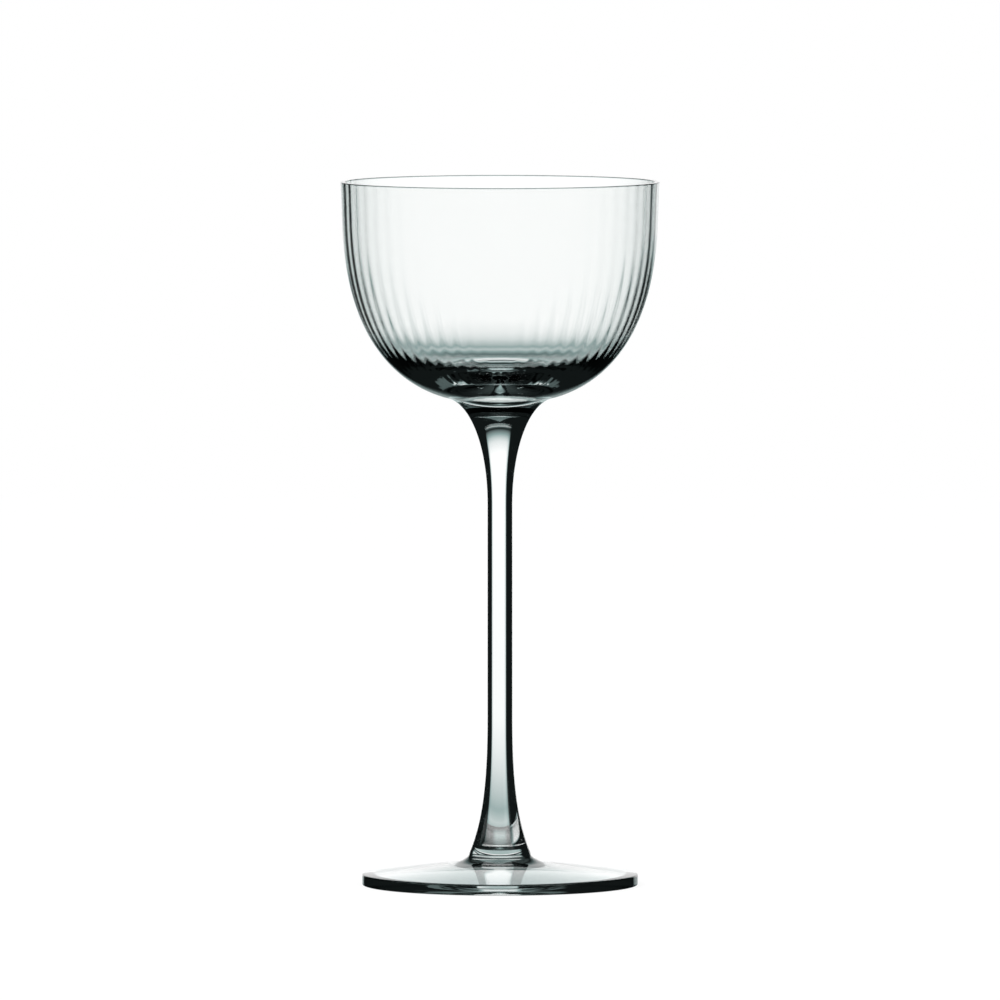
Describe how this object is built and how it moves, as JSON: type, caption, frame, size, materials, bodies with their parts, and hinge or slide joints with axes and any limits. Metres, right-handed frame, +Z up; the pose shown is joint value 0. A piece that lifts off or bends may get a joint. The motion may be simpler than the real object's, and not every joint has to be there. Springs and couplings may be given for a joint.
{
  "type": "cocktail glass",
  "caption": "Clear stemmed cocktail glass with a deep round bowl, fine optic ribs inside it, a long slender stem and a shallow disc foot; holds a short drink.",
  "frame": {"origin": "on the table under the middle of the foot", "axes": "+Z up along the stem's axis, towards the rim; X and Y are free, as the glass is round"},
  "size_m": [0.0794, 0.0794, 0.175],
  "materials": {
    "clear_glass": "fire-polished, clear"
  },
  "bodies": {
    "root": {"bowl": "clear_glass", "stem": "clear_glass", "foot": "clear_glass"}
  },
  "joints": []
}
